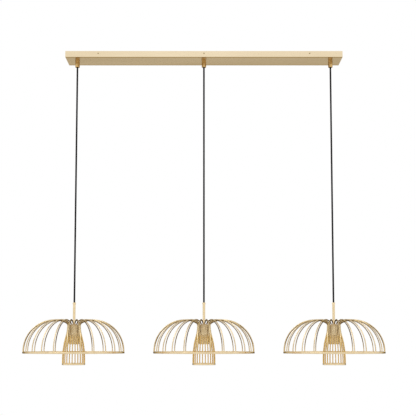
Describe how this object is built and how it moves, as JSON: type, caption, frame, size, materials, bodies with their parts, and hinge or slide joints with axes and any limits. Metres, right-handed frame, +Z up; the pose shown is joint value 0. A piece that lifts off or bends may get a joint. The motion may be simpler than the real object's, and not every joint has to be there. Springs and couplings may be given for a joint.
{
  "type": "linear island pendant",
  "caption": "Linear canopy with cord-hung wire dome shades in a row, each with a screw-cap lamp holder inside a flared wire neck.",
  "frame": {"origin": "centre of the ceiling plane: the middle of the bracket's back, level with the canopy's rim", "axes": "+X along the canopy and the row of pendants, +Y from the viewer of the picture to the back, +Z up into the ceiling"},
  "size_m": [1.428, 0.4, 1.251],
  "materials": {
    "satin_brass": "satin brushed, lacquered",
    "bright_brass": "turned, bright",
    "zinc_steel": "zinc plated",
    "black_textile": "braided textile",
    "porcelain": "glazed, off-white",
    "block_resin": "moulded, matt",
    "nickel_brass": "drawn, plain"
  },
  "bodies": {
    "canopy": {"canopy_cover": "satin_brass", "ceiling_bracket": "zinc_steel", "cover_screws": "satin_brass", "terminal_block": "block_resin", "terminal_screws": "zinc_steel", "earth_screw": "nickel_brass", "grip_nipples": "zinc_steel", "grip_nuts": "zinc_steel", "grip_screws": "zinc_steel", "left_cord_grip": "bright_brass", "left_inner_lead": "black_textile", "centre_cord_grip": "bright_brass", "centre_inner_lead": "black_textile", "right_cord_grip": "bright_brass", "right_inner_lead": "black_textile"},
    "left_cord_body": {"left_cord": "black_textile"},
    "left_pendant": {"left_stem_ferrule": "satin_brass", "left_stem_tube": "satin_brass", "left_lower_lead": "black_textile", "left_stem_nut": "zinc_steel", "left_shade_wires": "satin_brass", "left_rim_hoop": "satin_brass", "left_mouth_hoop": "satin_brass", "left_neck_collar": "satin_brass", "left_holder_cap": "bright_brass", "left_holder_skirt": "bright_brass", "left_holder_insert": "porcelain", "left_socket_shell": "nickel_brass", "left_socket_contact": "nickel_brass"},
    "centre_cord_body": {"centre_cord": "black_textile"},
    "centre_pendant": {"centre_stem_ferrule": "satin_brass", "centre_stem_tube": "satin_brass", "centre_lower_lead": "black_textile", "centre_stem_nut": "zinc_steel", "centre_shade_wires": "satin_brass", "centre_rim_hoop": "satin_brass", "centre_mouth_hoop": "satin_brass", "centre_neck_collar": "satin_brass", "centre_holder_cap": "bright_brass", "centre_holder_skirt": "bright_brass", "centre_holder_insert": "porcelain", "centre_socket_shell": "nickel_brass", "centre_socket_contact": "nickel_brass"},
    "right_cord_body": {"right_cord": "black_textile"},
    "right_pendant": {"right_stem_ferrule": "satin_brass", "right_stem_tube": "satin_brass", "right_lower_lead": "black_textile", "right_stem_nut": "zinc_steel", "right_shade_wires": "satin_brass", "right_rim_hoop": "satin_brass", "right_mouth_hoop": "satin_brass", "right_neck_collar": "satin_brass", "right_holder_cap": "bright_brass", "right_holder_skirt": "bright_brass", "right_holder_insert": "porcelain", "right_socket_shell": "nickel_brass", "right_socket_contact": "nickel_brass"}
  },
  "joints": [
    {"name": "left_swing", "type": "hinge", "parent": "canopy", "child": "left_cord_body", "pos_m": [-0.514, 0, -0.0485], "axis": [1, 0, 0], "range_deg": [-20, 20]},
    {"name": "left_height", "type": "slide", "parent": "left_cord_body", "child": "left_pendant", "axis": [0, 0, 1], "range_m": [0, 0.6], "deforming": ["left_cord"]},
    {"name": "centre_swing", "type": "hinge", "parent": "canopy", "child": "centre_cord_body", "pos_m": [0, 0, -0.0485], "axis": [1, 0, 0], "range_deg": [-20, 20]},
    {"name": "centre_height", "type": "slide", "parent": "centre_cord_body", "child": "centre_pendant", "axis": [0, 0, 1], "range_m": [0, 0.6], "deforming": ["centre_cord"]},
    {"name": "right_swing", "type": "hinge", "parent": "canopy", "child": "right_cord_body", "pos_m": [0.514, 0, -0.0485], "axis": [1, 0, 0], "range_deg": [-20, 20]},
    {"name": "right_height", "type": "slide", "parent": "right_cord_body", "child": "right_pendant", "axis": [0, 0, 1], "range_m": [0, 0.6], "deforming": ["right_cord"]}
  ]
}
